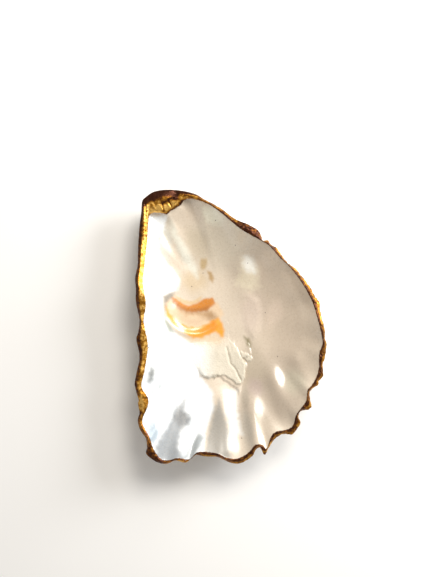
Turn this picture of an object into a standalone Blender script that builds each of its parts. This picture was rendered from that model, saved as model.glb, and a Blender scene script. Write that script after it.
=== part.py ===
"""The cupped valve of an oyster, cleaned out as a dish, with a gold-painted rim and hinge.

Seen from above, the hinge lies at the upper left (towards +Y), the straight side at -X and the
thin scalloped margin at -Y. The valve rests at z = 0 on the flat scar by which it grew on its rock.
Lengths are in millimetres until the mesh is made, which is in metres.
"""

import math

import bmesh
import bpy
import numpy as np
from mathutils import Vector, noise

MM = 0.001

# The outline of the whole valve, clockwise from the hinge corner.
OUTLINE = [
    (-58, 82), (-55.5, 85), (-51, 88), (-44.5, 89.5), (-37, 89.5), (-29.5, 88.5),
    (-22.5, 86.5), (-17.5, 83.5), (-11.5, 80.5), (-5, 76.5), (2, 71), (8.5, 68),
    (17, 63.5), (20, 59), (21, 56.5), (24.5, 56.5), (26, 54), (30, 51.5),
    (35.5, 44), (40.5, 39.5), (44.5, 35.5), (48.5, 30), (51.5, 26.5), (55, 20),
    (58, 15.5), (58, 12.5), (59, 7), (60.5, 0), (61.5, -6.5), (62.5, -12.5),
    (61.5, -20), (60, -24.5), (60.5, -28.5), (60, -32.5), (57.5, -35.5), (57.5, -37.5),
    (52, -41.5), (51.5, -45), (52.5, -51), (50.5, -54), (48.5, -54), (45, -55),
    (44, -58.5), (45.5, -62.5), (43, -67), (40, -70), (34, -70), (28, -74.5),
    (25, -78.5), (23, -82.5), (21.5, -83), (20, -80), (18.5, -78.5), (16, -80.5),
    (14.5, -84), (10, -87.5), (5.5, -89.5), (0, -89), (-3.5, -87.5), (-7.5, -85.5),
    (-11.5, -85), (-16, -85), (-21.5, -84), (-23, -84), (-28.5, -88.5), (-30.5, -89),
    (-34.5, -87.5), (-37, -87.5), (-41.5, -89.5), (-46, -89), (-50.5, -87), (-55, -82.5),
    (-54.5, -78), (-55.5, -72), (-59, -67), (-60.5, -61), (-59.5, -56), (-60.5, -50),
    (-60, -47.5), (-62, -40.5), (-62.5, -36), (-60.5, -26), (-59.5, -21.5), (-60, -15),
    (-61.5, -8), (-60, -2.5), (-59.5, 4.5), (-61.5, 16), (-61.5, 24.5), (-62, 32),
    (-60.5, 41), (-60.5, 50), (-60, 60), (-59.5, 67), (-58.5, 75),
]
# The edge of the pearly inside, where the painted rim begins.
NACRE_EDGE = [
    (-53, 74), (-47.5, 75), (-42, 74), (-39.5, 76), (-33, 80), (-30.5, 83),
    (-26.5, 84), (-20.5, 82.5), (-13.5, 79.5), (-7, 75), (-0.5, 69.5), (6, 64),
    (12.5, 60), (19, 56.5), (25.5, 52.5), (32, 45), (38.5, 39), (45, 30.5),
    (49.5, 23), (53.5, 15), (57, 2.5), (59, -6), (59.5, -11), (57.5, -17.5),
    (57.5, -25.5), (56, -32), (53, -37.5), (50, -41), (49, -47.5), (46.5, -51.5),
    (42.5, -57), (40.5, -64), (36, -67), (29, -68.5), (26, -72), (24, -78),
    (22.5, -79), (20.5, -76.5), (16, -76.5), (12.5, -81), (8, -84.5), (3, -86),
    (-3.5, -85), (-9.5, -82.5), (-21.5, -82), (-27, -86.5), (-34.5, -85.5), (-41, -87),
    (-46, -85.5), (-50.5, -78.5), (-52.5, -72), (-55.5, -66.5), (-57.5, -60.5), (-54, -51.5),
    (-54, -46), (-58, -38.5), (-56, -28.5), (-54, -14.5), (-54.5, -7), (-56.5, 4.5),
    (-55, 15.5), (-57, 29), (-56, 41.5), (-54.5, 56.5), (-54, 67.5),
]
LEAST_RIM_WIDTH = 0.9

# How the shell changes round the rim. Each row: azimuth in degrees from the bowl's centre,
# height of the rim, steepness of the inner wall, thickness at the edge, thickness of the wall.
ROUND_THE_RIM = [
    (126, 26.5, 2.7, 7.0, 8.0),
    (85, 28.0, 2.7, 3.2, 5.8),
    (38, 29.5, 2.3, 2.1, 5.0),
    (-17, 30.5, 2.2, 2.0, 4.8),
    (-50, 29.0, 2.2, 2.0, 4.8),
    (-87, 27.0, 2.1, 2.1, 4.8),
    (-117, 28.0, 2.6, 2.5, 5.2),
    (-150, 30.0, 3.4, 3.0, 6.0),
    (180, 31.5, 3.8, 3.4, 6.6),
    (152, 30.0, 3.6, 4.2, 7.2),
]
RIM_BLEND = 14.0
# Waves round the shell are rows of: how many in a turn, height and starting angle.
RIM_WAVES = ((5, 0.9, 0.4), (9, 0.7, 2.2), (14, 0.5, 0.9))
RIM_WAVES_FROM = 0.55
# Scallops of an edge are smoothed over this many degrees, and show only beyond this share.
EVEN_OVER = 8
SCALLOPS_FROM = 0.7

BOWL_CENTRE = (-5.0, 13.0)
FLOOR_HEIGHT = 5.8
CREST_AT = 0.42
CREST_DROP = 1.1
INNER_DROP = 1.0
HINGE_AZIMUTH = 117.0
HINGE_SPREAD = 11.0
HINGE_FADE = 3.0
HINGE_LIP = 4.5

# The flat scar underneath: centre, half axes, turn in degrees and waviness.
SCAR_CENTRE = (-4.0, 8.0)
SCAR_HALF = (24.0, 36.0)
SCAR_TURN = 14.0
SCAR_WAVES = ((3, 1.6, 0.8), (5, 1.0, 2.0))
LIFT_BESIDE_SCAR = 0.07

# Rounded folds of the inside. Each row: start, end, half width, height (a groove if negative).
FOLDS = [
    ((-23, -42), (-34, -84), 5.0, 1.5),
    ((-7, -40), (-9, -84), 5.0, 1.5),
    ((9, -44), (17, -79), 5.0, 1.5),
    ((17, -26), (33, -70), 5.5, 1.2),
    ((38, -12), (52, -46), 5.0, 0.8),
    ((-42, -36), (-50, -80), 5.0, 1.0),
    ((-39, 67), (-29, 45), 4.5, 1.3),
    ((-40, 71), (-33, 79), 2.5, 0.8),
]
# Rounded lumps of the inside. Each row: centre, half lengths, turn in degrees, height.
LUMPS = [
    ((-46.0, 85.0), (8.0, 4.5), 12, 1.4),
    ((-35.5, 87.0), (2.6, 2.0), 0, -1.5),
    ((-39.5, 30.0), (7.0, 7.0), 0, 1.2),
    ((-1.0, 34.0), (8.0, 12.0), 30, -0.8),
    ((13.0, 47.0), (8.0, 12.0), 20, 0.8),
    ((34.0, -33.0), (10.0, 14.0), -20, -1.2),
]
# The chalky deposit, a ledge with a broken edge, and the smooth lobe beside it.
LEDGE = [
    (-27, -9.5), (-17, -7.5), (-5.5, -6), (3.5, -7), (8.5, -7.5), (11.5, -13), (14.5, -18),
    (14.5, -23), (10.5, -24), (12.5, -26.5), (10.5, -31), (8.5, -38.5), (6.5, -46.5),
    (3, -43.5), (-3, -39), (-7, -35), (-11.5, -34), (-15.5, -35.5), (-19, -34.5),
    (-22.5, -26.5), (-26, -16),
]
LEDGE_HEIGHT = 1.8
LEDGE_EDGE = 3.0
LEDGE_START = (-8.0, -20.0)
LOBE = [
    (3, 24), (13, 24), (21.5, 18), (23.5, 9.5), (22.5, 1), (20.5, -6.5), (17, -10),
    (13, -8), (9, -1), (5, 10),
]
LOBE_HEIGHT = 1.3
LOBE_EDGE = 4.0
# The kidney-shaped scar of the muscle: a trough along an arc, with a raised outer lip.
MUSCLE_CENTRE = (-24.5, 14.0)
MUSCLE_RADIUS = 14.5
MUSCLE_AZIMUTH = -95.0
MUSCLE_SPREAD = 75.0
MUSCLE_TROUGH = (4.0, -1.1)
MUSCLE_LIP = (5.5, 2.2, 0.9)

# The outside: overlapping growth layers and folds that fan out from the umbo. Each layer ends at
# a share of the way from the scar to the outline, in a step down towards the rim.
LAYER_ENDS = (0.09, 0.20, 0.28, 0.41, 0.50, 0.61, 0.74, 0.83, 0.92)
LAYER_STEPS = (1.0, 1.5, 0.9, 1.8, 1.1, 1.7, 2.0, 1.2, 1.6)
LAYER_WAVES = ((3, 0.022, 0.6), (7, 0.015, 2.1), (13, 0.009, 0.0))
LAYER_TURN = 1.3
UMBO = (-48.0, 84.0)
RIB_ANGLE = 7.0
RIB_HEIGHT = 1.3
RIB_REACH = (60.0, 150.0)
RIB_WANDER = (1.6, 23.0)
# Shares over which the wall thickens behind the edge, the belly meets the wall, and the layers
# fade out towards the rim and the scar.
EDGE_TO_WALL = 0.13
BELLY_TO_WALL = (0.2, 0.7)
FADE_AT_RIM = 0.15
FADE_AT_SCAR = 0.12
SCAR_ROUNDING = 0.22
SLOPE_THICKENS = 0.35
RELIEF_FROM = 0.75
LUMP_SIZE = 19.0
LUMP_HEIGHT = 0.8

RIM_COLUMNS = 144
RIM_STEPS = (0.0, CREST_AT, 1.0)
WALL_STEPS = (0.965, 0.92, 0.87, 0.81, 0.75, 0.69, 0.63, 0.57, 0.51, 0.45)
BOWL_STEPS = (0.39, 0.33, 0.27, 0.21, 0.15)
CENTRE_STEPS = (0.08,)
COARSE_LAYERS = 4
LAYER_GAP = 0.006
EDGE_SHARE = 0.997

SHELL_COLOUR = (0.74, 0.68, 0.60, 1.0)
SHELL_ROUGHNESS = 0.3
SHELL_METALLIC = 0.0


def clear_scene():
    for thing in list(bpy.data.objects):
        bpy.data.objects.remove(thing)


def ease(low, high, value):
    """0 below low, 1 above high and a smooth rise between them."""
    share = np.clip((value - low) / (high - low), 0.0, 1.0)
    return share * share * (3.0 - 2.0 * share)


def closed_curve(points, per_span=24):
    """Points along a closed Catmull-Rom curve through the given ones."""
    knots = np.array(points, float)
    before = np.roll(knots, 1, axis=0)
    after = np.roll(knots, -1, axis=0)
    beyond = np.roll(knots, -2, axis=0)
    spans = []
    for t in np.arange(per_span) / per_span:
        spans.append(
            0.5 * (2 * knots + (after - before) * t
                   + (2 * before - 5 * knots + 4 * after - beyond) * t * t
                   + (3 * knots - before - 3 * after + beyond) * t ** 3)
        )
    return np.stack(spans, axis=1).reshape(-1, 2)


def polar(curve, centre):
    """The curve as angles and distances from a centre."""
    away = curve - np.array(centre)
    return np.arctan2(away[:, 1], away[:, 0]), np.hypot(away[:, 0], away[:, 1])


def reach(table, angle):
    """How far the curve of a polar table lies from its centre in a direction."""
    return np.interp(angle, table[0], table[1], period=2 * math.pi)


OUTLINE_CURVE = closed_curve(OUTLINE)
OUTLINE_POLAR = polar(OUTLINE_CURVE, (0.0, 0.0))
NACRE_POLAR = polar(closed_curve(NACRE_EDGE), (0.0, 0.0))


def nacre_reach(angle):
    return np.minimum(reach(NACRE_POLAR, angle), reach(OUTLINE_POLAR, angle) - LEAST_RIM_WIDTH)


def nacre_curve():
    angle = np.linspace(-math.pi, math.pi, 1440, endpoint=False)
    return nacre_reach(angle)[:, None] * np.stack([np.cos(angle), np.sin(angle)], axis=1)


def evened(table):
    """A polar table with its scallops smoothed away."""
    angle = np.radians(np.arange(-180, 180))
    near = np.exp(-0.5 * (np.arange(-3 * EVEN_OVER, 3 * EVEN_OVER + 1) / EVEN_OVER) ** 2)
    around = np.concatenate([reach(table, angle)] * 3)
    return angle, np.convolve(around, near / near.sum(), "same")[360:720]


BOWL_POLAR = polar(nacre_curve(), BOWL_CENTRE)
BODY_POLAR = polar(OUTLINE_CURVE, BOWL_CENTRE)
BOWL_EVENED = evened(BOWL_POLAR)
BODY_EVENED = evened(BODY_POLAR)


def share_out(x, y, table, even):
    """0 at the bowl's centre and 1 at an edge, whose scallops fade out away from it."""
    angle = np.arctan2(y - BOWL_CENTRE[1], x - BOWL_CENTRE[0])
    away = np.hypot(x - BOWL_CENTRE[0], y - BOWL_CENTRE[1])
    edge = reach(table, angle)
    smooth = reach(even, angle)
    full = smooth + (edge - smooth) * ease(SCALLOPS_FROM, 1.0, away / edge)
    return np.minimum(away / full, 1.0)


def round_the_rim(angle):
    """Rim height, steepness, edge thickness and wall thickness in a direction, blended."""
    total = 0.0
    values = [0.0] * 4
    for azimuth, *row in ROUND_THE_RIM:
        weight = np.exp(RIM_BLEND * (np.cos(angle - math.radians(azimuth)) - 1.0))
        total = total + weight
        values = [value + weight * number for value, number in zip(values, row)]
    return [value / total for value in values]


def degrees_apart(angle, azimuth):
    return np.degrees(np.arccos(np.cos(angle - math.radians(azimuth))))


def waves(angle, rows, turn=0.0):
    return sum(height * np.sin(count * angle + start + turn) for count, height, start in rows)


def hinge_share(angle):
    """1 at the hinge and 0 away from it."""
    off = degrees_apart(angle, HINGE_AZIMUTH)
    return 1.0 - ease(HINGE_SPREAD - HINGE_FADE, HINGE_SPREAD + HINGE_FADE, off)


def fold(x, y, start, end, half_width, height):
    """A rounded ridge that fades at both ends."""
    along = np.subtract(end, start)
    length = math.hypot(*along)
    across = ((x - start[0]) * along[1] - (y - start[1]) * along[0]) / length
    share = ((x - start[0]) * along[0] + (y - start[1]) * along[1]) / length ** 2
    fade = ease(-0.12, 0.35, share) * (1.0 - ease(0.85, 1.15, share))
    return height * fade * np.exp(-(across / half_width) ** 2)


def lump(x, y, centre, half, turn, height):
    """A rounded dome or hollow with an oval foot."""
    angle = math.radians(turn)
    along = (x - centre[0]) * math.cos(angle) + (y - centre[1]) * math.sin(angle)
    across = (y - centre[1]) * math.cos(angle) - (x - centre[0]) * math.sin(angle)
    return height * np.exp(-((along / half[0]) ** 2 + (across / half[1]) ** 2))


def depth_inside(x, y, corners):
    """Distance from a closed outline, positive inside it."""
    knots = np.array(corners, float)
    nearest = np.full(np.shape(x), 1e9)
    inside = np.zeros(np.shape(x), bool)
    for (ax, ay), (bx, by) in zip(knots, np.roll(knots, -1, axis=0)):
        length = (bx - ax) ** 2 + (by - ay) ** 2
        share = np.clip(((x - ax) * (bx - ax) + (y - ay) * (by - ay)) / length, 0.0, 1.0)
        nearest = np.minimum(nearest, np.hypot(x - ax - share * (bx - ax), y - ay - share * (by - ay)))
        crosses = (ay > y) != (by > y)
        level = by - ay if by != ay else 1.0
        inside ^= crosses & (x < (bx - ax) * (y - ay) / level + ax)
    return np.where(inside, nearest, -nearest)


def muscle_scar(x, y):
    """A trough along an arc with a raised lip outside it."""
    away = np.hypot(x - MUSCLE_CENTRE[0], y - MUSCLE_CENTRE[1]) - MUSCLE_RADIUS
    angle = np.arctan2(y - MUSCLE_CENTRE[1], x - MUSCLE_CENTRE[0])
    fade = 1.0 - ease(0.6 * MUSCLE_SPREAD, MUSCLE_SPREAD, degrees_apart(angle, MUSCLE_AZIMUTH))
    trough = MUSCLE_TROUGH[1] * np.exp(-(away / MUSCLE_TROUGH[0]) ** 2)
    lip = MUSCLE_LIP[2] * np.exp(-((away - MUSCLE_LIP[0]) / MUSCLE_LIP[1]) ** 2)
    return fade * (trough + lip)


def bumps(x, y, size):
    """Smooth irregular unevenness between about -1 and 1."""
    places = zip(np.ravel(x) / size, np.ravel(y) / size)
    return np.reshape([noise.noise(Vector((a, b, 0.37))) for a, b in places], np.shape(x))


def bowl_base(x, y):
    """The plain bowl inside the nacre's edge."""
    rim, steep, _, _ = round_the_rim(np.arctan2(y - BOWL_CENTRE[1], x - BOWL_CENTRE[0]))
    top = rim - INNER_DROP - HINGE_LIP * hinge_share(np.arctan2(y, x))
    return FLOOR_HEIGHT + (top - FLOOR_HEIGHT) * share_out(x, y, BOWL_POLAR, BOWL_EVENED) ** steep


def rim_wave(x, y):
    """The rise and fall of the rim, which dies away towards the bowl."""
    share = share_out(x, y, BODY_POLAR, BODY_EVENED)
    return waves(np.arctan2(y, x), RIM_WAVES) * ease(RIM_WAVES_FROM, 1.0, share)


def relief(x, y):
    """All that stands up from the plain bowl or sinks into it."""
    total = LUMP_HEIGHT * bumps(x, y, LUMP_SIZE) + muscle_scar(x, y) + rim_wave(x, y)
    for start, end, half_width, height in FOLDS:
        total = total + fold(x, y, start, end, half_width, height)
    for centre, half, turn, height in LUMPS:
        total = total + lump(x, y, centre, half, turn, height)
    step = ease(0.0, LEDGE_EDGE, depth_inside(x, y, LEDGE))
    total = total + LEDGE_HEIGHT * step * ease(-LEDGE_START[0], -LEDGE_START[1], -y)
    return total + LOBE_HEIGHT * ease(0.0, LOBE_EDGE, depth_inside(x, y, LOBE))


def rim_height(x, y, share):
    """The painted rim, from its outer edge (share 0) over the crest to the nacre (share 1)."""
    rim = round_the_rim(np.arctan2(y - BOWL_CENTRE[1], x - BOWL_CENTRE[0]))[0]
    outer = CREST_DROP * (1.0 - ease(0.0, CREST_AT, share))
    inner = INNER_DROP * ease(CREST_AT, 1.0, share)
    return rim - outer - inner


def inside_height(x, y, share):
    """Height of the upper surface; share is 1 inside the nacre's edge, less on the rim."""
    on_rim = rim_height(x, y, share)
    return np.where(share < 1.0, on_rim, bowl_base(x, y)) + relief(x, y)


def ribs(x, y):
    """Folds of the outside that fan out from the umbo and die away at the rim."""
    angle = np.degrees(np.arctan2(y - UMBO[1], x - UMBO[0]))
    away = np.hypot(x - UMBO[0], y - UMBO[1])
    wander = RIB_WANDER[0] * np.sin(away / RIB_WANDER[1])
    return RIB_HEIGHT * ease(*RIB_REACH, away) * np.sin(2 * math.pi * (angle + wander) / RIB_ANGLE)


def scar_curve():
    """The oval of the flat scar, turned and a little wavy."""
    angle = np.linspace(-math.pi, math.pi, 720, endpoint=False)
    turn = math.radians(SCAR_TURN)
    along = SCAR_HALF[0] * np.cos(angle) + waves(angle, SCAR_WAVES) * np.cos(angle)
    across = SCAR_HALF[1] * np.sin(angle) + waves(angle, SCAR_WAVES) * np.sin(angle)
    x = SCAR_CENTRE[0] + along * math.cos(turn) - across * math.sin(turn)
    y = SCAR_CENTRE[1] + along * math.sin(turn) + across * math.cos(turn)
    return np.stack([x, y], axis=1)


SCAR_POLAR = polar(scar_curve(), BOWL_CENTRE)


def layer_end(angle, layer):
    """Share of the way from the scar to the outline at which a layer ends, wandering a little."""
    end = LAYER_ENDS[layer]
    return end + waves(angle, LAYER_WAVES, LAYER_TURN * layer) * math.sin(math.pi * end)


def outside_height(x, y, share, step):
    """Height of the lower surface, which a layer's step moves down (outwards) or up."""
    angle = np.arctan2(y - BOWL_CENTRE[1], x - BOWL_CENTRE[0])
    away = np.hypot(x - BOWL_CENTRE[0], y - BOWL_CENTRE[1])
    out = share_out(x, y, BODY_POLAR, BODY_EVENED)
    rim, steep, edge, wall = round_the_rim(angle)
    body = FLOOR_HEIGHT + (rim - CREST_DROP - FLOOR_HEIGHT) * out ** steep
    slope = steep * (rim - FLOOR_HEIGHT) * out ** (steep - 1.0) / reach(BODY_POLAR, angle)
    middle = FLOOR_HEIGHT + (wall - FLOOR_HEIGHT) * ease(*BELLY_TO_WALL, out)
    middle = middle * np.sqrt(1.0 + SLOPE_THICKENS * slope ** 2)
    thick = edge + (middle - edge) * ease(0.0, EDGE_TO_WALL, 1.0 - out)
    fade = ease(0.0, FADE_AT_RIM, 1.0 - share) * ease(0.0, FADE_AT_SCAR, share)
    body = body - thick - (step + ribs(x, y)) * fade + relief(x, y) * ease(RELIEF_FROM, 1.0, out)
    beside = LIFT_BESIDE_SCAR * np.maximum(away - reach(SCAR_POLAR, angle), 0.0)
    return np.maximum(body * ease(0.0, SCAR_ROUNDING, share), beside)


def inside_rings():
    """Rings of points of the upper surface, from the outline to the middle."""
    steps = np.arange(RIM_COLUMNS) / RIM_COLUMNS
    closed = np.vstack([OUTLINE_CURVE, OUTLINE_CURVE[:1]])
    length = np.concatenate([[0.0], np.cumsum(np.hypot(*np.diff(closed, axis=0).T))])
    x = np.interp(steps * length[-1], length, closed[:, 0])
    y = np.interp(steps * length[-1], length, closed[:, 1])
    angle = np.arctan2(y, x)
    outline = np.hypot(x, y)
    nacre = nacre_reach(angle)
    rings = []
    for share in RIM_STEPS:
        away = outline + (nacre - outline) * share
        rings.append(surface_ring(angle, away, share))
    for steps, every in ((WALL_STEPS, 1), (BOWL_STEPS, 2), (CENTRE_STEPS, 4)):
        for step in steps:
            rings.append(surface_ring(angle[::every], nacre[::every] * step, 1.0))
    return rings


def surface_ring(angle, away, share):
    x = away * np.cos(angle)
    y = away * np.sin(angle)
    return np.stack([x, y, inside_height(x, y, np.full(np.shape(x), share))], axis=1)


def outside_rings(outline):
    """Rings of points of the lower surface, from just below the outline to the scar's edge."""
    x, y = outline[:, 0] - BOWL_CENTRE[0], outline[:, 1] - BOWL_CENTRE[1]
    angle = np.arctan2(y, x)
    far = np.hypot(x, y)
    smooth = reach(BODY_EVENED, angle)
    near = reach(SCAR_POLAR, angle)
    places = [(EDGE_SHARE, 0.0, 1)]
    for layer in reversed(range(len(LAYER_ENDS))):
        every = 1 if layer >= COARSE_LAYERS else 2
        half = LAYER_STEPS[layer] / 2
        places.append((layer_end(angle, layer) + LAYER_GAP, -half, every))
        places.append((layer_end(angle, layer) - LAYER_GAP, half, every))
    places.append((0.0, 0.0, 2))
    rings = []
    for share, step, every in places:
        scallops = ease(SCALLOPS_FROM, 1.0, share + 0.0 * angle)
        away = near + (smooth + (far - smooth) * scallops - near) * share
        x = BOWL_CENTRE[0] + away * np.cos(angle)
        y = BOWL_CENTRE[1] + away * np.sin(angle)
        z = outside_height(x, y, share + 0.0 * angle, step)
        rings.append(np.stack([x, y, z], axis=1)[::every])
    return rings


def bridge(mesh, outer, inner, upward):
    """Triangles between two rings, the inner with as many points as the outer or half as many."""
    step = len(outer) // len(inner)
    for i, corner in enumerate(inner):
        following = inner[(i + 1) % len(inner)]
        band = [outer[(i * step + k) % len(outer)] for k in range(step + 1)]
        faces = [(band[k], band[k + 1], corner) for k in range((step + 1) // 2)]
        faces.append((band[(step + 1) // 2], following, corner))
        faces += [(band[k], band[k + 1], following) for k in range((step + 1) // 2, step)]
        for face in faces:
            mesh.faces.new(face if upward else face[::-1])


def add_ring(mesh, points):
    return [mesh.verts.new(Vector(point) * MM) for point in points]


def close_middle(mesh, ring, centre, upward):
    middle = mesh.verts.new(Vector(centre) * MM)
    for corner, following in zip(ring, ring[1:] + ring[:1]):
        face = (corner, following, middle)
        mesh.faces.new(face if upward else face[::-1])


def build_shell():
    mesh = bmesh.new()
    above = inside_rings()
    below = outside_rings(above[0])
    top = [add_ring(mesh, ring) for ring in above]
    bottom = [top[0]] + [add_ring(mesh, ring) for ring in below]
    for outer, inner in zip(top, top[1:]):
        bridge(mesh, outer, inner, False)
    for outer, inner in zip(bottom, bottom[1:]):
        bridge(mesh, outer, inner, True)
    middle = inside_height(np.zeros(1), np.zeros(1), np.ones(1))[0]
    close_middle(mesh, top[-1], (0.0, 0.0, middle), False)
    close_middle(mesh, bottom[-1], (*BOWL_CENTRE, 0.0), True)
    return mesh


def shell_material():
    material = bpy.data.materials.new("pearly shell with gold rim")
    material.use_nodes = True
    shader = material.node_tree.nodes["Principled BSDF"]
    shader.inputs["Base Color"].default_value = SHELL_COLOUR
    shader.inputs["Roughness"].default_value = SHELL_ROUGHNESS
    shader.inputs["Metallic"].default_value = SHELL_METALLIC
    return material


def centre_on_axis(mesh):
    """Moves the shell so that its box is centred over the origin."""
    sides = np.array([corner.co[:2] for corner in mesh.verts])
    middle = (sides.min(axis=0) + sides.max(axis=0)) / 2
    bmesh.ops.translate(mesh, verts=mesh.verts, vec=(-middle[0], -middle[1], 0.0))


def main():
    clear_scene()
    mesh = build_shell()
    centre_on_axis(mesh)
    data = bpy.data.meshes.new("oyster_shell")
    mesh.to_mesh(data)
    mesh.free()
    data.shade_smooth()
    data.materials.append(shell_material())
    shell = bpy.data.objects.new("oyster_shell", data)
    bpy.context.scene.collection.objects.link(shell)


main()
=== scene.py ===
"""The oyster shell dish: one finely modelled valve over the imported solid, on a pale floor.

Lengths are in millimetres until the mesh is made, which is in metres like everything else.
"""

import math

import bpy
import numpy as np
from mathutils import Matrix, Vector, noise


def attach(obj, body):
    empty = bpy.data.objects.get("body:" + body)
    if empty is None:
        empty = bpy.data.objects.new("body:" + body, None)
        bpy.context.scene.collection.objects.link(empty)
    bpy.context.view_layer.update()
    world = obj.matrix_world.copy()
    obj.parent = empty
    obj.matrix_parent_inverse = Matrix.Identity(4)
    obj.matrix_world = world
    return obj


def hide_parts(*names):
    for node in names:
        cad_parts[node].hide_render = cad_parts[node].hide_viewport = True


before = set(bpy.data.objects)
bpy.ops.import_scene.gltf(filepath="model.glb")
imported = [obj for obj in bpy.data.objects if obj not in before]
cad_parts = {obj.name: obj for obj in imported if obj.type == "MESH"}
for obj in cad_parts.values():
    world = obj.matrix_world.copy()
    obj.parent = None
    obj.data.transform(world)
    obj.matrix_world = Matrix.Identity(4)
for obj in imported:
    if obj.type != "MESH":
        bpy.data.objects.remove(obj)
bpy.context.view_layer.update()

MM = 0.001

# The outline of the whole valve, clockwise from the hinge corner.
OUTLINE = [
    (-58, 82), (-55.5, 85), (-51, 88), (-44.5, 89.5), (-37, 89.5), (-29.5, 88.5),
    (-22.5, 86.5), (-17.5, 83.5), (-11.5, 80.5), (-5, 76.5), (2, 71), (8.5, 68),
    (17, 63.5), (20, 59), (21, 56.5), (24.5, 56.5), (26, 54), (30, 51.5),
    (35.5, 44), (40.5, 39.5), (44.5, 35.5), (48.5, 30), (51.5, 26.5), (55, 20),
    (58, 15.5), (58, 12.5), (59, 7), (60.5, 0), (61.5, -6.5), (62.5, -12.5),
    (61.5, -20), (60, -24.5), (60.5, -28.5), (60, -32.5), (57.5, -35.5), (57.5, -37.5),
    (52, -41.5), (51.5, -45), (52.5, -51), (50.5, -54), (48.5, -54), (45, -55),
    (44, -58.5), (45.5, -62.5), (43, -67), (40, -70), (34, -70), (28, -74.5),
    (25, -78.5), (23, -82.5), (21.5, -83), (20, -80), (18.5, -78.5), (16, -80.5),
    (14.5, -84), (10, -87.5), (5.5, -89.5), (0, -89), (-3.5, -87.5), (-7.5, -85.5),
    (-11.5, -85), (-16, -85), (-21.5, -84), (-23, -84), (-28.5, -88.5), (-30.5, -89),
    (-34.5, -87.5), (-37, -87.5), (-41.5, -89.5), (-46, -89), (-50.5, -87), (-55, -82.5),
    (-54.5, -78), (-55.5, -72), (-59, -67), (-60.5, -61), (-59.5, -56), (-60.5, -50),
    (-60, -47.5), (-62, -40.5), (-62.5, -36), (-60.5, -26), (-59.5, -21.5), (-60, -15),
    (-61.5, -8), (-60, -2.5), (-59.5, 4.5), (-61.5, 16), (-61.5, 24.5), (-62, 32),
    (-60.5, 41), (-60.5, 50), (-60, 60), (-59.5, 67), (-58.5, 75),
]
# The edge of the pearly inside, where the painted rim begins.
NACRE_EDGE = [
    (-53, 74), (-47.5, 75), (-42, 74), (-39.5, 76), (-33, 80), (-30.5, 83),
    (-26.5, 84), (-20.5, 82.5), (-13.5, 79.5), (-7, 75), (-0.5, 69.5), (6, 64),
    (12.5, 60), (19, 56.5), (25.5, 52.5), (32, 45), (38.5, 39), (45, 30.5),
    (49.5, 23), (53.5, 15), (57, 2.5), (59, -6), (59.5, -11), (57.5, -17.5),
    (57.5, -25.5), (56, -32), (53, -37.5), (50, -41), (49, -47.5), (46.5, -51.5),
    (42.5, -57), (40.5, -64), (36, -67), (29, -68.5), (26, -72), (24, -78),
    (22.5, -79), (20.5, -76.5), (16, -76.5), (12.5, -81), (8, -84.5), (3, -86),
    (-3.5, -85), (-9.5, -82.5), (-21.5, -82), (-27, -86.5), (-34.5, -85.5), (-41, -87),
    (-46, -85.5), (-50.5, -78.5), (-52.5, -72), (-55.5, -66.5), (-57.5, -60.5), (-54, -51.5),
    (-54, -46), (-58, -38.5), (-56, -28.5), (-54, -14.5), (-54.5, -7), (-56.5, 4.5),
    (-55, 15.5), (-57, 29), (-56, 41.5), (-54.5, 56.5), (-54, 67.5),
]
LEAST_RIM_WIDTH = 0.9

# How the shell changes round the rim. Each row: azimuth in degrees from the bowl's centre,
# height of the rim, steepness of the inner wall, thickness at the edge, thickness of the wall.
ROUND_THE_RIM = [
    (126, 26.5, 2.7, 7.0, 8.0),
    (85, 28.0, 2.7, 3.2, 5.8),
    (38, 29.5, 2.3, 2.1, 5.0),
    (-17, 30.5, 2.2, 2.0, 4.8),
    (-50, 29.0, 2.2, 2.0, 4.8),
    (-87, 27.0, 2.1, 2.1, 4.8),
    (-117, 28.0, 2.6, 2.5, 5.2),
    (-150, 30.0, 3.4, 3.0, 6.0),
    (180, 31.5, 3.8, 3.4, 6.6),
    (152, 30.0, 3.6, 4.2, 7.2),
]
# The painted rim's own form. Each row: azimuth, share of its width at which it crests,
# drop to the outline, drop to the nacre, height of its torn flakes, raggedness of the outline.
RIM_FORM = [
    (126, 0.42, 1.1, 1.0, 0.35, 0.1),
    (85, 0.6, 1.4, 0.6, 0.25, 0.25),
    (60, 0.8, 1.8, 0.3, 0.8, 0.55),
    (20, 0.9, 2.0, 0.2, 1.0, 0.8),
    (-30, 0.85, 1.9, 0.2, 1.0, 0.7),
    (-60, 0.8, 1.6, 0.3, 0.9, 0.7),
    (-90, 0.7, 1.2, 0.4, 0.4, 0.25),
    (-120, 0.55, 1.3, 0.7, 0.35, 0.3),
    (-150, 0.45, 1.5, 0.9, 0.2, 0.15),
    (180, 0.42, 1.7, 1.0, 0.2, 0.25),
    (152, 0.45, 1.7, 1.0, 0.2, 0.25),
]
RIM_BLEND = 14.0
# Waves round the shell are rows of: how many in a turn, height and starting angle.
RIM_WAVES = ((5, 0.9, 0.4), (9, 0.7, 2.2), (14, 0.5, 0.9))
RIM_WAVES_FROM = 0.55
EVEN_OVER = 8
SCALLOPS_FROM = 0.7
# Sizes and shares of the unevenness that tears the outline and the rim's flakes.
FRAYING = ((4.5, 0.7), (1.7, 0.6), (0.9, 0.3))
FLAKE_SIZE = (3.0, 1.2)

BOWL_CENTRE = (-5.0, 13.0)
FLOOR_HEIGHT = 5.8
HINGE_AZIMUTH = 117.0
HINGE_SPREAD = 11.0
HINGE_FADE = 3.0
HINGE_LIP = 4.5

SCAR_CENTRE = (-4.0, 8.0)
SCAR_HALF = (24.0, 36.0)
SCAR_TURN = 14.0
SCAR_WAVES = ((3, 1.6, 0.8), (5, 1.0, 2.0))
LIFT_BESIDE_SCAR = 0.07

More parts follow.
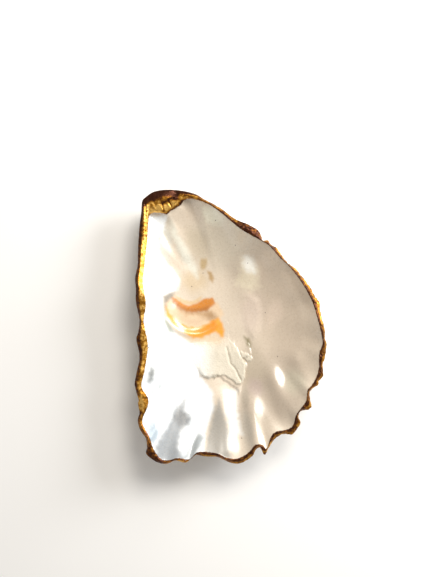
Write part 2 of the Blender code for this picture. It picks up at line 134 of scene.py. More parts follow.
# Rounded folds of the inside. Each row: start, end, half width, height (a groove if negative).
FOLDS = [
    ((-25, -42), (-35, -86), 6.0, 1.7),
    ((-6, -44), (-1, -86), 6.5, 1.8),
    ((13, -44), (20, -82), 5.5, 2.5),
    ((26, -24), (37, -60), 5.5, 1.7),
    ((40, -12), (54, -44), 5.0, 0.7),
    ((-42, -36), (-50, -80), 5.0, 1.0),
    ((-39, 67), (-29, 45), 4.5, 1.3),
    ((-40, 71), (-33, 79), 2.5, 0.8),
]
# Rounded lumps of the inside. Each row: centre, half lengths, turn in degrees, height.
LUMPS = [
    ((-46.0, 85.0), (8.0, 4.5), 12, 1.4),
    ((-35.5, 87.0), (2.6, 2.0), 0, -1.5),
    ((-39.5, 30.0), (7.0, 7.0), 0, 1.2),
    ((-1.0, 34.0), (8.0, 12.0), 30, -0.8),
    ((13.0, 47.0), (8.0, 12.0), 20, 0.8),
    ((34.0, -33.0), (10.0, 14.0), -20, -1.2),
]
# Flat places that lean. Each row: centre, half width, slope towards +X and towards +Y.
LEANS = [
    ((12.5, 41.0), (7.0, 8.0), -0.4, -0.4),
    ((33.5, -34.5), (7.5, 7.5), -0.28, 0.0),
]
LEDGE = [
    (-27, -9.5), (-17, -7.5), (-5.5, -6), (3.5, -7), (8.5, -7.5), (11.5, -10), (14, -13),
    (14.5, -18), (14.5, -20), (9, -22.5), (10.5, -25), (10.5, -29), (10, -34), (8.5, -38.5),
    (6.5, -46.5), (3, -41.5), (-3, -38), (-7, -34.5), (-11.5, -34), (-15.5, -35.5),
    (-19, -34.5), (-22.5, -26.5), (-26, -16),
]
# The chalky slab that lies on the ledge, and a flake beside it.
SLAB = [
    (-29, -12), (-20, -10), (-9, -9), (-3, -2), (2.5, -3), (2.5, -8), (3.5, -13.5), (6.5, -19),
    (10, -24), (12, -27), (10.5, -28.5), (10, -34), (8, -38), (6.5, -39.5), (5, -39.5),
    (2.5, -38), (-0.5, -35.5), (-3, -34), (-6, -33.5), (-9, -34.5), (-10, -36), (-12, -35),
    (-15, -36.5), (-15.5, -35.5), (-17.5, -34.5), (-19.5, -33.5), (-23, -28.5), (-27, -20),
]
PETAL = [(6, -17), (10.5, -18.5), (14.5, -20), (15, -22), (14, -24), (11, -24), (8, -22)]
# Each row: outline, height and width of its edge.
TERRACES = ((LEDGE, 0.9, 1.2), (SLAB, 0.9, 0.7), (PETAL, 0.55, 0.6))
LEDGE_START = (-8.0, -20.0)
# The slab rises out of the floor from its left end, along a slanted line.
SLAB_SLANT = (0.6, 34.0)
SLAB_RISE = (-30.0, -14.0)
TORN_EDGE = ((2.6, 0.55), (0.9, 0.3))
CHALK_GRAIN = ((2.2, 0.12), (0.8, 0.07))
LOBE = [
    (3, 24), (13, 24), (20.5, 18.5), (23, 10), (22.5, 2), (21, -5), (18.5, -9.5),
    (15.5, -11), (12, -9), (8.5, -3), (5, 10),
]
LOBE_HEIGHT = 1.0
LOBE_EDGE = 5.0
LOBE_RISE = (3.0, 18.0)
MUSCLE_CENTRE = (-24.5, 14.0)
MUSCLE_RADIUS = 14.5
MUSCLE_AZIMUTH = -95.0
MUSCLE_SPREAD = 75.0
MUSCLE_TROUGH = (4.0, -1.1)
MUSCLE_LIP = (5.5, 2.2, 0.9)

# Narrow lines of the surface. Each row: path, half width, height (a groove if negative).
CREASES = [
    ([(-2.5, -15), (-1.5, -18.5), (-0.5, -22.5), (0, -25.5), (2.5, -28), (4, -30),
      (5.5, -33.5), (7.5, -37)], 0.55, -0.8),
    ([(-47, 80.5), (-42, 80.5), (-37.5, 84)], 0.7, -0.8),
    ([(-44.6, 80), (-43.8, 76.5)], 0.5, -0.7),
    ([(-40.5, 81.5), (-38.5, 78.5)], 0.5, -0.7),
    ([(-57, 80), (-56.4, 70), (-56.6, 58)], 0.6, 0.5),
    ([(-54.5, 79), (-54.6, 70), (-55.4, 60)], 0.5, 0.45),
    ([(-51, 79.5), (-49.5, 77)], 0.7, 0.6),
    ([(24, 45), (37, 30), (46, 10), (47, -10), (43, -22)], 3.0, 0.45),
    ([(36, 42), (43, 31), (49, 18)], 1.2, 0.25),
]

LAYER_ENDS = (0.09, 0.20, 0.28, 0.41, 0.50, 0.61, 0.74, 0.83, 0.92)
LAYER_STEPS = (1.0, 1.5, 0.9, 1.8, 1.1, 1.7, 2.0, 1.2, 1.6)
LAYER_WAVES = ((3, 0.022, 0.6), (7, 0.015, 2.1), (13, 0.009, 0.0))
LAYER_TURN = 1.3
LAYER_FRILL = ((6.0, 0.012), (2.2, 0.007))
UMBO = (-48.0, 84.0)
RIB_ANGLE = 7.0
RIB_HEIGHT = 1.3
RIB_REACH = (60.0, 150.0)
RIB_WANDER = (1.6, 23.0)
EDGE_TO_WALL = 0.13
BELLY_TO_WALL = (0.2, 0.7)
FADE_AT_RIM = 0.15
FADE_AT_SCAR = 0.12
SCAR_ROUNDING = 0.22
SLOPE_THICKENS = 0.35
RELIEF_FROM = 0.75
LUMP_SIZE = 19.0
LUMP_HEIGHT = 0.8
ROUGHNESS_OUTSIDE = ((5.0, 0.35), (1.8, 0.2))

COLUMNS = 832
RIM_RINGS = 14
EDGE_SHARE = 0.997
LAYER_GAP = 0.004
RINGS_PER_LAYER = 5
PAINT_LAPS_BY = (6.5, 2.2)

# Colours as they look on a screen, 0 to 255.
NACRE = (218, 203, 183)
# Soft patches of the nacre: mostly its own tones, but some rows are painted shade and one is a
# painted highlight, as noted. Each row: centre, half lengths, turn, colour, strength.
PATCHES = [
    ((34, 6), (24, 50), 12, (222, 205, 184), 0.9),
    ((-4, 58), (22, 22), 35, (230, 220, 200), 0.8),
    ((28, -44), (26, 26), 0, (184, 169, 151), 0.9),
    # Painted shade: the beige shadow to the right of the chalk.
    ((14, -28), (12, 16), 0, (182, 168, 147), 0.8),
    ((-22, 55), (8, 14), 22, (206, 192, 168), 0.8),
    # Painted shade: the grey facet at the left edge of the raised plateau.
    ((-43, 56), (5, 16), 0, (206, 203, 191), 0.9),
    ((-24, 30), (10, 9), 0, (212, 190, 156), 0.8),
    ((-12, 73), (9, 5.5), -38, (246, 244, 224), 0.8),
    # Painted shade: the darker band along the right rim, where the rim's shadow falls.
    ((45, 28), (4.5, 22), 28, (196, 177, 153), 0.6),
    ((42, -36), (8, 9), 0, (200, 194, 172), 0.6),
    # Painted highlight: a warm soft spot on the right wall.
    ((30, 9), (6, 10), -10, (246, 226, 206), 0.7),
    ((15, 9), (9, 15), 0, (228, 209, 194), 0.6),
    ((17, -41), (6, 7), 20, (184, 164, 156), 0.6),
    # Painted shade on flanks of the lower folds that face away from the light (this row and the
    # next).
    ((10, -48), (3, 8), 0, (160, 150, 134), 0.6),
    ((11, -67), (5, 12), 8, (180, 174, 162), 0.6),
]
# Painted highlight: the window's bright, cool reflection over the left wall and the lower left.
WALL_HIGHLIGHT = [
    (-60, 74), (-41.5, 73), (-43.5, 69), (-44, 64), (-49, 58.5), (-48, 54), (-47, 48),
    (-44.5, 45.5), (-42, 41), (-38, 37), (-34, 31.5), (-34, 28), (-36, 24), (-44, 20),
    (-45, 14), (-44, 6), (-41, -1), (-34, -7), (-26, -12), (-23, -24), (-20, -34),
    (-12, -44), (-11, -56), (-16, -68), (-18, -90), (-64, -90), (-66, 0),
]
# Painted highlight in cream along the lit flank of the ridge beside the left wall.
RIDGE_HIGHLIGHT = [
    (-40, 71), (-37.5, 68), (-34.5, 60), (-29.5, 53), (-26, 46), (-22, 38), (-22, 32),
    (-28, 38), (-33, 46), (-36.5, 54), (-39, 62),
]
STAIN_HIGH = [(-20, 45), (-16, 45), (-15.5, 41), (-17, 38), (-19.5, 38), (-20.5, 41)]
STAIN_LOW = [(-15.5, 37), (-12.5, 36), (-11, 32), (-12, 29), (-14, 31)]
# Grey areas of the left side: painted shade where the surface turns away from the light.
FACET_SHADE = [(-45, 20), (-40.5, 22), (-37.5, 22.5), (-38.5, 17.5), (-41, 13.5), (-43.5, 11)]
SLIVER_SHADE = [(-44, 13), (-42.5, 5.5), (-40, 0), (-38, -4.5), (-41, -4), (-44, 2.5)]
LEFT_SHADE = [
    (-52.5, -26.5), (-50.5, -29), (-50, -36.5), (-50.5, -42.5), (-51.5, -44),
    (-53.5, -40), (-55, -35.5), (-54, -31),
]
STROKE_SHADE = [(-43, -27.5), (-45.5, -33), (-46, -41), (-48, -41.5), (-47.5, -35), (-45, -30)]
# Grey areas among the lower folds: painted shade on flanks that face away from the light.
FOLD_SHADE = [
    (-30, -46.5), (-28, -49), (-30.5, -55.5), (-29, -58.5), (-26, -61.5), (-27.5, -65.5),
    (-32, -69.5), (-34.5, -74), (-34.5, -79), (-30.5, -84), (-28, -88), (-36.5, -90),
    (-48, -88), (-49, -80), (-47.5, -74.5), (-43, -68), (-39.5, -62), (-37.5, -55),
]
DEEP_FOLD_SHADE = [(-33.5, -54), (-30, -57), (-26.5, -61.5), (-28, -66), (-34, -66), (-38, -60)]
STREAK_SHADE = [(-21, -71), (-17.5, -73), (-20, -78), (-25, -86), (-30, -86), (-26.5, -78.5)]
WEDGE_SHADE = [
    (-7.5, -48.5), (-4.5, -58), (-0.5, -70.5), (0, -86), (-17, -86), (-15.5, -74),
    (-14, -68.5), (-11.5, -58),
]
# Painted reflection: a cool blue-grey tint in the lower left corner, where the nacre reflects the
# window.
CORNER_REFLECTION = [(-51, -60), (-48.5, -64.5), (-47, -70), (-50, -76), (-56, -74), (-55, -67.5)]
# Painted highlight on the lit flank of a lower fold.
FOLD_HIGHLIGHT = [
    (-4, -44), (4.5, -43), (4.5, -52), (5, -57.5), (6, -63), (7.5, -71), (1, -71), (-3, -58),
]
# Painted highlight at the upper right: a white core inside a softer cream spread.
HIGHLIGHT_CORE = [(9.5, 47), (14, 46.5), (17, 40), (16.5, 35), (10.5, 36.5), (8, 41.5)]
HIGHLIGHT_SPREAD = [(8, 44), (6.5, 36), (4, 29), (7, 26.5), (14.5, 23.5), (19, 26.5), (18, 38)]
GREEN_HOLLOW = [(9.5, -7.5), (12.5, -8.5), (14.5, -13), (13.5, -15.5), (11, -12.5)]
# The scar's top band is darker than its low band: partly the scar's own amber, partly painted shade
# on the trough's upper wall, deepest in the outline below.
AMBER_TOP = [
    (-39, 19.5), (-36.5, 18.5), (-33.5, 15.6), (-30, 13.9), (-26.5, 13.6), (-22.5, 15),
    (-18, 18), (-12, 19), (-10, 15), (-15, 10.6), (-20, 9.6), (-25.5, 9), (-31, 10),
    (-36, 13.2), (-38.5, 16),
]
DARK_TOP = [
    (-39.5, 19), (-37, 16.5), (-32.5, 12.8), (-27, 11.3), (-20, 11.8), (-14, 13.5),
    (-15, 9.5), (-20, 8.6), (-25.5, 8.2), (-31, 9.3), (-36, 12.5), (-39, 15.5),
]
PEACH_LINE = [
    (-38.5, 21), (-33.5, 18.4), (-28, 16.4), (-24, 17), (-19, 20), (-21, 16), (-26.5, 13.6),
    (-30, 13.9), (-33.5, 15.6),
]
AMBER_LOW = [
    (-43.2, 13), (-41, 8.6), (-37.5, 4.5), (-33.5, 1.6), (-29, -0.7), (-24.5, -1.5),
    (-20, -1), (-16, 1), (-12, 3.6), (-8, 5), (-5.5, 2), (-4, -4), (-4.5, -8.5), (-7, -7),
    (-9.5, -4.5), (-13, -5.5), (-16, -7), (-20, -8.4), (-24.5, -8.4), (-28, -6.8),
    (-31.5, -4.2), (-36, -1), (-39.5, 2.5), (-42.5, 6.5),
]
RICH_LOW = [
    (-33, 1), (-29, -1.2), (-24.5, -2), (-20, -1.4), (-16, 0.4), (-11, 2.5), (-8, 0),
    (-11, -4), (-15, -5), (-18.5, -6), (-22, -4.5), (-27, -4), (-31, -1.6),
]
AMBER_MIDDLE = [
    (-43, 15), (-39, 18.5), (-36, 13.5), (-31, 10.8), (-25.5, 9.5), (-20, 10), (-15, 11),
    (-9, 16), (-4, 8), (-8, 3), (-13, 2.5), (-16, 1), (-20, -1), (-24.5, -1.5), (-29, -0.5),
    (-33.5, 2), (-37.5, 4.5), (-41.5, 8.5),
]
BROWN_MIDDLE = [(-36, 12.5), (-25.5, 8.5), (-12, 10), (-8, 4), (-14, 4), (-20, 6.5), (-30, 7)]
PEACH_BELOW = [
    (-30, -7), (-24.5, -8.5), (-18, -8.5), (-10, -6), (-5, -9), (-7, -15), (-13, -17),
    (-20, -14), (-27, -11),
]
# Areas of the nacre with a shape of their own; the highlight, shade and reflection areas among them
# are painted light and shade. Each row: outline, colour, softness, strength.
AREAS = [
    (WALL_HIGHLIGHT, (240, 244, 246), 1.8, 1.0),
    (RIDGE_HIGHLIGHT, (234, 232, 217), 2.2, 0.9),
    (STAIN_HIGH, (190, 163, 116), 1.2, 0.9),
    (STAIN_LOW, (176, 140, 84), 1.2, 0.85),
    (FACET_SHADE, (132, 126, 116), 1.4, 0.85),
    (SLIVER_SHADE, (166, 172, 158), 1.2, 0.8),
    (LEFT_SHADE, (128, 134, 136), 1.7, 0.95),
    (STROKE_SHADE, (160, 170, 172), 0.9, 0.8),
    (FOLD_SHADE, (150, 156, 161), 2.2, 0.95),
    (DEEP_FOLD_SHADE, (108, 112, 116), 2.4, 0.9),
    (STREAK_SHADE, (150, 158, 161), 1.3, 0.85),
    (WEDGE_SHADE, (160, 156, 148), 2.0, 0.95),
    (CORNER_REFLECTION, (150, 170, 184), 1.6, 0.85),
    (FOLD_HIGHLIGHT, (236, 236, 232), 2.2, 0.9),
    (HIGHLIGHT_SPREAD, (252, 240, 212), 3.6, 0.85),
    (HIGHLIGHT_CORE, (255, 253, 244), 2.8, 1.0),
    (GREEN_HOLLOW, (126, 116, 78), 1.3, 0.9),
    (PEACH_BELOW, (222, 194, 156), 3.4, 0.85),
    (AMBER_MIDDLE, (228, 200, 166), 1.5, 1.0),
    (BROWN_MIDDLE, (180, 138, 90), 2.4, 0.8),
    (PEACH_LINE, (216, 184, 138), 0.9, 0.9),
    (AMBER_TOP, (206, 124, 0), 0.9, 1.0),
    (DARK_TOP, (140, 78, 0), 1.1, 0.5),
    (AMBER_LOW, (238, 160, 34), 1.2, 1.0),
    (RICH_LOW, (244, 140, 0), 1.4, 0.9),
]
CHALK = (208, 199, 180)
CHALK_LEFT = (238, 236, 228)
CHALK_TURNS = (-8.0, -20.0)
# Darker and lighter lines of the gold, mostly along its grooves and edges: partly the paint's own
# pooling and rubbing, partly painted light and shade. Each row: path, half width, change.
GOLD_SHADES = [
    # Painted shadow: the dark line along the wall under the hinge pad's lip.
    ([(-47, 73.5), (-42, 73), (-39, 75.5), (-33.5, 79), (-31, 82)], 1.1, -1.6),
    ([(-37, 88.5), (-36, 84)], 2.0, -1.6),
    ([(-58, 80), (-53, 85.5), (-45, 88.5), (-37, 89), (-26, 87.5)], 1.6, -0.7),
    ([(-52, 83), (-46, 85.5), (-40, 87)], 2.4, -0.3),
    ([(-45, 81), (-39, 83.5)], 0.7, -1.2),
    ([(-47, 78), (-42, 77), (-36, 81)], 1.6, 0.5),
    ([(-44.8, 80), (-43.8, 76)], 0.5, -1.2),
    ([(-40.5, 82), (-38.5, 78.5)], 0.5, -1.2),
    ([(-52, 75), (-48, 76)], 1.8, 0.5),
    ([(18, 62), (14, 65), (8, 67.5)], 3.0, -0.6),
    ([(-59.5, -47), (-58, -52)], 2.2, 0.9),
    ([(-54, -80), (-51, -86), (-46, -88.5)], 1.8, -0.7),
    ([(-33, -88), (-27, -87.5)], 1.6, 0.4),
    ([(24, -80), (25, -75)], 1.2, 0.4),
]
SPECKS = [
    (-18.4, 35.5), (-26, 26.5), (3.3, 53.8), (11.6, 42), (-9.9, 70), (31.6, -20.5),
    (7.3, -73.5), (-53.5, -13.5), (23.6, 8.7),
]
SPECK_RADIUS = 0.35

# The camera looks straight down from this height, over this point of the floor.
CAMERA_HEIGHT = 0.549
CAMERA_OVER = (-0.00926, 0.02503)
CAMERA_LENS = 49.9


def linear(colour):
    """A colour as seen on a screen, 0 to 255, as the linear values that a shader takes."""
    share = np.array(colour, float) / 255.0
    return np.where(share <= 0.04045, share / 12.92, ((share + 0.055) / 1.055) ** 2.4)


def ease(low, high, value):
    """0 below low, 1 above high and a smooth rise between them."""
    share = np.clip((value - low) / (high - low), 0.0, 1.0)
    return share * share * (3.0 - 2.0 * share)


def closed_curve(points, per_span=24):
    """Points along a closed Catmull-Rom curve through the given ones."""
    knots = np.array(points, float)
    before = np.roll(knots, 1, axis=0)
    after = np.roll(knots, -1, axis=0)
    beyond = np.roll(knots, -2, axis=0)
    spans = []
    for t in np.arange(per_span) / per_span:
        spans.append(
            0.5 * (2 * knots + (after - before) * t
                   + (2 * before - 5 * knots + 4 * after - beyond) * t * t
                   + (3 * knots - before - 3 * after + beyond) * t ** 3)
        )
    return np.stack(spans, axis=1).reshape(-1, 2)


def polar(curve, centre):
    """The curve as angles and distances from a centre."""
    away = curve - np.array(centre)
    return np.arctan2(away[:, 1], away[:, 0]), np.hypot(away[:, 0], away[:, 1])


def reach(table, angle):
    """How far the curve of a polar table lies from its centre in a direction."""
    return np.interp(angle, table[0], table[1], period=2 * math.pi)


OUTLINE_CURVE = closed_curve(OUTLINE)
OUTLINE_POLAR = polar(OUTLINE_CURVE, (0.0, 0.0))
NACRE_POLAR = polar(closed_curve(NACRE_EDGE), (0.0, 0.0))


def nacre_reach(angle):
    return np.minimum(reach(NACRE_POLAR, angle), reach(OUTLINE_POLAR, angle) - LEAST_RIM_WIDTH)


def nacre_curve():
    angle = np.linspace(-math.pi, math.pi, 1440, endpoint=False)
    return nacre_reach(angle)[:, None] * np.stack([np.cos(angle), np.sin(angle)], axis=1)


def evened(table):
    """A polar table with its scallops smoothed away."""
    angle = np.radians(np.arange(-180, 180))
    near = np.exp(-0.5 * (np.arange(-3 * EVEN_OVER, 3 * EVEN_OVER + 1) / EVEN_OVER) ** 2)
    around = np.concatenate([reach(table, angle)] * 3)
    return angle, np.convolve(around, near / near.sum(), "same")[360:720]


BOWL_POLAR = polar(nacre_curve(), BOWL_CENTRE)
BODY_POLAR = polar(OUTLINE_CURVE, BOWL_CENTRE)
BOWL_EVENED = evened(BOWL_POLAR)
BODY_EVENED = evened(BODY_POLAR)


def from_centre(x, y):
    """Angle and distance from the bowl's centre."""
    x = x - BOWL_CENTRE[0]
    y = y - BOWL_CENTRE[1]
    return np.arctan2(y, x), np.hypot(x, y)


def share_out(x, y, table, even):
    """0 at the bowl's centre and 1 at an edge, whose scallops fade out away from it."""
    angle, away = from_centre(x, y)
    edge = reach(table, angle)
    smooth = reach(even, angle)
    full = smooth + (edge - smooth) * ease(SCALLOPS_FROM, 1.0, away / edge)
    return np.minimum(away / full, 1.0)


def round_the_rim(angle, table=ROUND_THE_RIM):
    """The values of a table's rows, blended in a direction from the bowl's centre."""
    total = 0.0
    values = [0.0] * (len(table[0]) - 1)
    for azimuth, *row in table:
        weight = np.exp(RIM_BLEND * (np.cos(angle - math.radians(azimuth)) - 1.0))
        total = total + weight
        values = [value + weight * number for value, number in zip(values, row)]
    return [value / total for value in values]


def degrees_apart(angle, azimuth):
    return np.degrees(np.arccos(np.cos(angle - math.radians(azimuth))))


def waves(angle, rows, turn=0.0):
    return sum(height * np.sin(count * angle + start + turn) for count, height, start in rows)


def bumps(x, y, size, layer=0.37):
    """Smooth irregular unevenness between about -1 and 1."""
    places = zip(np.ravel(x) / size, np.ravel(y) / size)
    return np.reshape([noise.noise(Vector((a, b, layer))) for a, b in places], np.shape(x))


def rough(x, y, rows, layer=0.37):
    """Unevenness of several sizes, each row giving one size and its height."""
    return sum(height * bumps(x, y, size, layer + size) for size, height in rows)


def hinge_share(angle):
    """1 at the hinge and 0 away from it."""
    off = degrees_apart(angle, HINGE_AZIMUTH)
    return 1.0 - ease(HINGE_SPREAD - HINGE_FADE, HINGE_SPREAD + HINGE_FADE, off)


def fold(x, y, start, end, half_width, height):
    """A rounded ridge that fades at both ends."""
    along = np.subtract(end, start)
    length = math.hypot(*along)
    across = ((x - start[0]) * along[1] - (y - start[1]) * along[0]) / length
    share = ((x - start[0]) * along[0] + (y - start[1]) * along[1]) / length ** 2
    fade = ease(-0.12, 0.35, share) * (1.0 - ease(0.85, 1.15, share))
    return height * fade * np.exp(-(across / half_width) ** 2)


def oval(x, y, centre, half, turn):
    """Squared distance from a centre in units of an oval's half lengths."""
    angle = math.radians(turn)
    along = (x - centre[0]) * math.cos(angle) + (y - centre[1]) * math.sin(angle)
    across = (y - centre[1]) * math.cos(angle) - (x - centre[0]) * math.sin(angle)
    return (along / half[0]) ** 2 + (across / half[1]) ** 2


def off_path(x, y, path):
    """Distance from a path of straight stretches."""
    knots = np.array(path, float)
    nearest = np.full(np.shape(x), 1e9)
    for (ax, ay), (bx, by) in zip(knots, knots[1:]):
        length = (bx - ax) ** 2 + (by - ay) ** 2
        share = np.clip(((x - ax) * (bx - ax) + (y - ay) * (by - ay)) / length, 0.0, 1.0)
        off = np.hypot(x - ax - share * (bx - ax), y - ay - share * (by - ay))
        nearest = np.minimum(nearest, off)
    return nearest


def depth_inside(x, y, corners):
    """Distance from a closed outline, positive inside it."""
    inside = np.zeros(np.shape(x), bool)
    for (ax, ay), (bx, by) in zip(corners, corners[1:] + corners[:1]):
        level = by - ay if by != ay else 1.0
        inside ^= ((ay > y) != (by > y)) & (x < (bx - ax) * (y - ay) / level + ax)
    nearest = off_path(x, y, corners + corners[:1])
    return np.where(inside, nearest, -nearest)


def muscle_scar(x, y):
    """A trough along an arc with a raised lip outside it."""
    away = np.hypot(x - MUSCLE_CENTRE[0], y - MUSCLE_CENTRE[1]) - MUSCLE_RADIUS
    angle = np.arctan2(y - MUSCLE_CENTRE[1], x - MUSCLE_CENTRE[0])
    fade = 1.0 - ease(0.6 * MUSCLE_SPREAD, MUSCLE_SPREAD, degrees_apart(angle, MUSCLE_AZIMUTH))
    trough = MUSCLE_TROUGH[1] * np.exp(-(away / MUSCLE_TROUGH[0]) ** 2)
    lip = MUSCLE_LIP[2] * np.exp(-((away - MUSCLE_LIP[0]) / MUSCLE_LIP[1]) ** 2)
    return fade * (trough + lip)


def chalk_depth(x, y):
    """Distance inside the torn edge of the chalky slab and its flake."""
    torn = rough(x, y, TORN_EDGE)
    return np.maximum(depth_inside(x, y, SLAB), depth_inside(x, y, PETAL)) + torn


def chalk(x, y):
    """The flaky deposit: terraces with torn edges and a grainy top."""
    torn = rough(x, y, TORN_EDGE)
    rise = ease(-LEDGE_START[0], -LEDGE_START[1], -y)
    rise = rise * ease(*SLAB_RISE, x - SLAB_SLANT[0] * (y + SLAB_SLANT[1]))
    total = 0.0
    for corners, height, edge in TERRACES:
        total = total + height * rise * ease(0.0, edge, depth_inside(x, y, corners) + torn)
    return total + rough(x, y, CHALK_GRAIN) * ease(0.0, 1.5, chalk_depth(x, y))


def bowl_base(x, y):
    """The plain bowl inside the nacre's edge."""
    rim, steep, _, _ = round_the_rim(from_centre(x, y)[0])
    inner = round_the_rim(from_centre(x, y)[0], RIM_FORM)[2]
    top = rim - inner - HINGE_LIP * hinge_share(np.arctan2(y, x))
    return FLOOR_HEIGHT + (top - FLOOR_HEIGHT) * share_out(x, y, BOWL_POLAR, BOWL_EVENED) ** steep


def rim_wave(x, y):
    """The rise and fall of the rim, which dies away towards the bowl."""
    share = share_out(x, y, BODY_POLAR, BODY_EVENED)
    return waves(np.arctan2(y, x), RIM_WAVES) * ease(RIM_WAVES_FROM, 1.0, share)


def relief(x, y):
    """All that stands up from the plain bowl or sinks into it."""
    total = LUMP_HEIGHT * bumps(x, y, LUMP_SIZE) + muscle_scar(x, y) + rim_wave(x, y)
    for start, end, half_width, height in FOLDS:
        total = total + fold(x, y, start, end, half_width, height)
    for centre, half, turn, height in LUMPS:
        total = total + height * np.exp(-oval(x, y, centre, half, turn))
    for centre, half, slope_x, slope_y in LEANS:
        rise = slope_x * (x - centre[0]) + slope_y * (y - centre[1])
        total = total + rise * np.exp(-oval(x, y, centre, half, 0.0))
    for path, half_width, height in CREASES:
        total = total + height * np.exp(-(off_path(x, y, path) / half_width) ** 2)
    lobe = ease(*LOBE_RISE, x) * ease(0.0, LOBE_EDGE, depth_inside(x, y, LOBE))
    return total + LOBE_HEIGHT * lobe


def flakes(x, y, share):
    """Torn layers of the rim: small terraces that fall towards the outline."""
    place = (1.0 - share) * 3.0 + 1.2 * bumps(x, y, FLAKE_SIZE[0], 1.7)
    terrace = np.floor(place) + ease(0.7, 1.0, place - np.floor(place)) - (1.0 - share) * 3.0
    torn = 0.5 * bumps(x, y, FLAKE_SIZE[1], 4.1)
    return (0.5 - 0.45 * terrace + torn) * ease(0.0, 0.15, 1.0 - share) * ease(0.0, 0.1, share)


def rim_height(x, y, share):
    """The painted rim, from its outer edge (share 0) over the crest to the nacre (share 1)."""
    angle = from_centre(x, y)[0]
    crest, outer, inner, flake, _ = round_the_rim(angle, RIM_FORM)
    fall = outer * (1.0 - ease(0.0, crest, share)) + inner * ease(crest, 1.001, share)
    return round_the_rim(angle)[0] - fall + flake * flakes(x, y, share)


def inside_height(x, y, share):
    """Height of the upper surface; share is 1 inside the nacre's edge, less on the rim."""
    if np.all(share < 1.0):
        return rim_height(x, y, share) + relief(x, y)
    return bowl_base(x, y) + relief(x, y) + chalk(x, y)


def ribs(x, y):
    """Folds of the outside that fan out from the umbo and die away at the rim."""
    angle = np.degrees(np.arctan2(y - UMBO[1], x - UMBO[0]))
    away = np.hypot(x - UMBO[0], y - UMBO[1])
    wander = RIB_WANDER[0] * np.sin(away / RIB_WANDER[1])
    return RIB_HEIGHT * ease(*RIB_REACH, away) * np.sin(2 * math.pi * (angle + wander) / RIB_ANGLE)


def scar_curve():
    """The oval of the flat scar, turned and a little wavy."""
    angle = np.linspace(-math.pi, math.pi, 720, endpoint=False)
    turn = math.radians(SCAR_TURN)
    along = SCAR_HALF[0] * np.cos(angle) + waves(angle, SCAR_WAVES) * np.cos(angle)
    across = SCAR_HALF[1] * np.sin(angle) + waves(angle, SCAR_WAVES) * np.sin(angle)
    x = SCAR_CENTRE[0] + along * math.cos(turn) - across * math.sin(turn)
    y = SCAR_CENTRE[1] + along * math.sin(turn) + across * math.cos(turn)
    return np.stack([x, y], axis=1)


SCAR_POLAR = polar(scar_curve(), BOWL_CENTRE)


def layer_end(angle, layer):
    """Share of the way from the scar to the outline at which a layer ends, wandering a little."""
    end = LAYER_ENDS[layer]
    far = reach(BODY_EVENED, angle)
    frill = rough(far * np.cos(angle), far * np.sin(angle), LAYER_FRILL, 3.0 * layer)
    return end + (waves(angle, LAYER_WAVES, LAYER_TURN * layer) + frill) * math.sin(math.pi * end)


def outside_height(x, y, share, step):
    """Height of the lower surface, which a layer's step moves down (outwards) or up."""
    angle, away = from_centre(x, y)
    out = share_out(x, y, BODY_POLAR, BODY_EVENED)
    rim, steep, edge, wall = round_the_rim(angle)
    drop = round_the_rim(angle, RIM_FORM)[1]
    body = FLOOR_HEIGHT + (rim - drop - FLOOR_HEIGHT) * out ** steep
    slope = steep * (rim - FLOOR_HEIGHT) * out ** (steep - 1.0) / reach(BODY_POLAR, angle)
    middle = FLOOR_HEIGHT + (wall - FLOOR_HEIGHT) * ease(*BELLY_TO_WALL, out)
    middle = middle * np.sqrt(1.0 + SLOPE_THICKENS * slope ** 2)
    thick = edge + (middle - edge) * ease(0.0, EDGE_TO_WALL, 1.0 - out)
    fade = ease(0.0, FADE_AT_RIM, 1.0 - share) * ease(0.0, FADE_AT_SCAR, share)
    uneven = rough(x, y, ROUGHNESS_OUTSIDE, 8.0) * ease(0.0, 0.03, 1.0 - share)
    body = body - thick - (step + ribs(x, y)) * fade + relief(x, y) * ease(RELIEF_FROM, 1.0, out)
    beside = LIFT_BESIDE_SCAR * np.maximum(away - reach(SCAR_POLAR, angle), 0.0)
    return np.maximum((body + uneven) * ease(0.0, SCAR_ROUNDING, share), beside)


def column_angles():
    """The outline at even spacing, as angles and distances from the origin, a little frayed."""
    closed = np.vstack([OUTLINE_CURVE, OUTLINE_CURVE[:1]])
    length = np.concatenate([[0.0], np.cumsum(np.hypot(*np.diff(closed, axis=0).T))])
    steps = np.arange(COLUMNS) / COLUMNS * length[-1]
    x = np.interp(steps, length, closed[:, 0])
    y = np.interp(steps, length, closed[:, 1])
    fray = round_the_rim(from_centre(x, y)[0], RIM_FORM)[4] * rough(x, y, FRAYING)
    return np.arctan2(y, x), np.hypot(x, y) + fray


class Ring:
    """Points round the shell with what the material needs to know of them."""

    def __init__(self, x, y, z, on_rim=1.0, layer=-1.0):
        self.points = np.stack([x, y, z], axis=1)
        self.on_rim = np.broadcast_to(on_rim, np.shape(x))
        self.layer = np.broadcast_to(layer, np.shape(x))


def inside_ring(angle, away, share):
    x = away * np.cos(angle)
    y = away * np.sin(angle)
    return Ring(x, y, inside_height(x, y, np.full(np.shape(x), share)), share)


def inside_rings():
    """Rings of the upper surface, from the outline to the middle."""
    angle, outline = column_angles()
    nacre = nacre_reach(angle)
    rings = []
    for share in np.linspace(0.0, 1.0, RIM_RINGS + 1):
        rings.append(inside_ring(angle, outline + (nacre - outline) * share, share))
    for steps, every in (
        (np.linspace(0.993, 0.6, 38), 1),
        (np.linspace(0.59, 0.3, 30), 2),
        (np.linspace(0.29, 0.15, 14), 4),
        (np.linspace(0.14, 0.02, 10), 8),
    ):
        for step in steps:
            rings.append(inside_ring(angle[::every], nacre[::every] * step, 1.0))
    return rings


